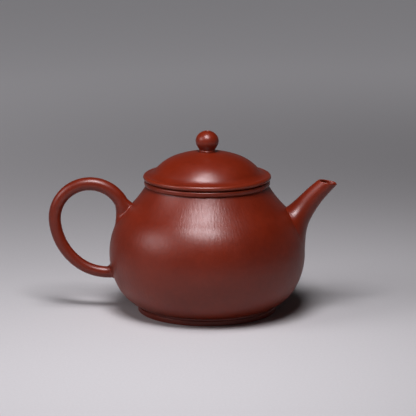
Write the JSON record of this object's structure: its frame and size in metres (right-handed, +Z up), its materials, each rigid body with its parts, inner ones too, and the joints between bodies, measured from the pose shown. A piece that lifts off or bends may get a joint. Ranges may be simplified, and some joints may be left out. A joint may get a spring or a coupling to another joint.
{
  "type": "teapot",
  "caption": "Clay teapot with a flattened round belly, ear handle, straight tapering spout and a lift-off domed lid with a ball knob.",
  "frame": {"origin": "the centre of the foot ring's underside, on the axis of the pot", "axes": "+Z up along the axis of the pot, +X towards the spout, -X towards the handle"},
  "size_m": [0.1296, 0.0882, 0.082],
  "materials": {
    "clay": "unglazed red-brown stoneware, fine satin burnish"
  },
  "bodies": {
    "pot": {"body_wall": "clay", "base_disc": "clay", "shoulder_ring": "clay", "mouth_ring": "clay", "foot_ring": "clay", "spout": "clay", "spout_strainer": "clay", "handle": "clay"},
    "lid_seat": {"lid_flange": "clay"},
    "lid": {"lid_plate": "clay", "lid_dome": "clay", "knob": "clay"}
  },
  "joints": [
    {"name": "lid_lift", "type": "slide", "parent": "pot", "child": "lid_seat", "axis": [0, 0, 1], "range_m": [0, 0.06]},
    {"name": "lid_turn", "type": "hinge", "parent": "lid_seat", "child": "lid", "pos_m": [0, 0, 0.0598], "axis": [0, 0, 1], "continuous": true}
  ]
}
